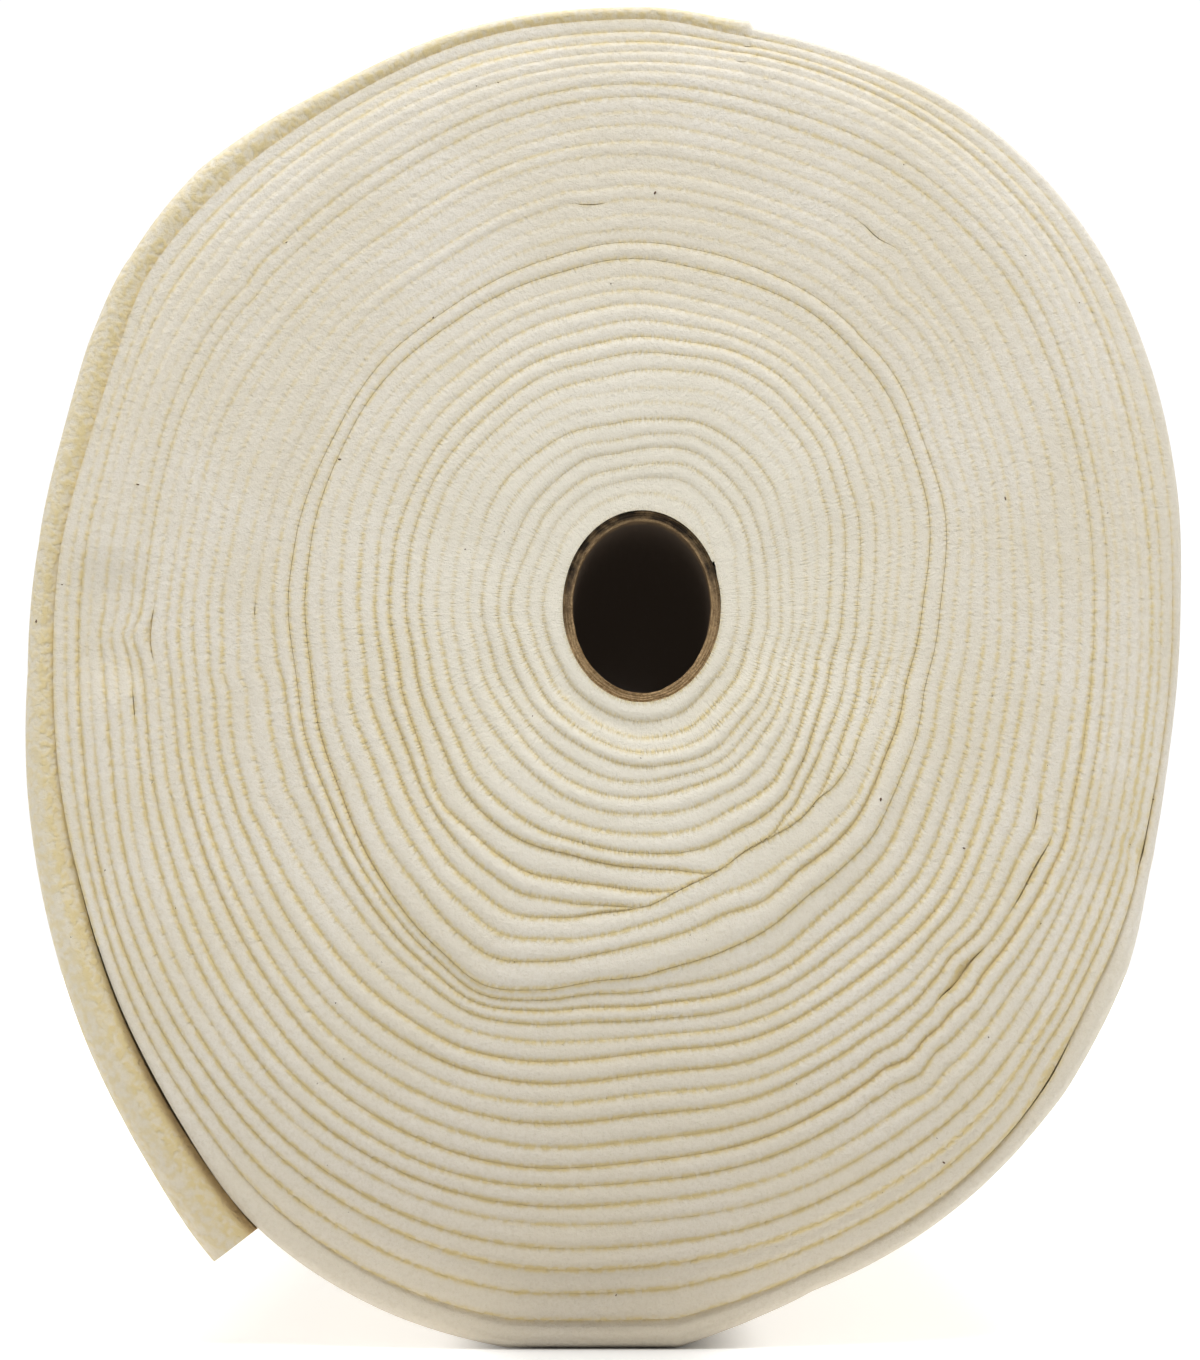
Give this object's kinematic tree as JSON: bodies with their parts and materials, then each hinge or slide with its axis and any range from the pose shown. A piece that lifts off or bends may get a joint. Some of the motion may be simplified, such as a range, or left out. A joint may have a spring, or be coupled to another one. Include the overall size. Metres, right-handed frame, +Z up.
{
  "type": "roll of quilt batting",
  "caption": "Roll of natural cotton quilt batting, folded in half and wound on an oval-squashed cardboard tube, with its outer end standing loose.",
  "frame": {"origin": "centre of the bounding box's bottom face, on the surface that the roll lies on", "axes": "+Y along the tube, away from the end with the folded edges; +X to the right as seen from that end; +Z up"},
  "size_m": [0.4272, 1.143, 0.4963],
  "materials": {
    "cotton_batting": "unbleached needled cotton, matt and felted, with seed flecks",
    "cardboard": "matt brown spiral-wound cardboard with a rough cut end"
  },
  "bodies": {
    "root": {"batting_roll": "cotton_batting", "loose_end": "cotton_batting", "core_tube": "cardboard"}
  },
  "joints": []
}
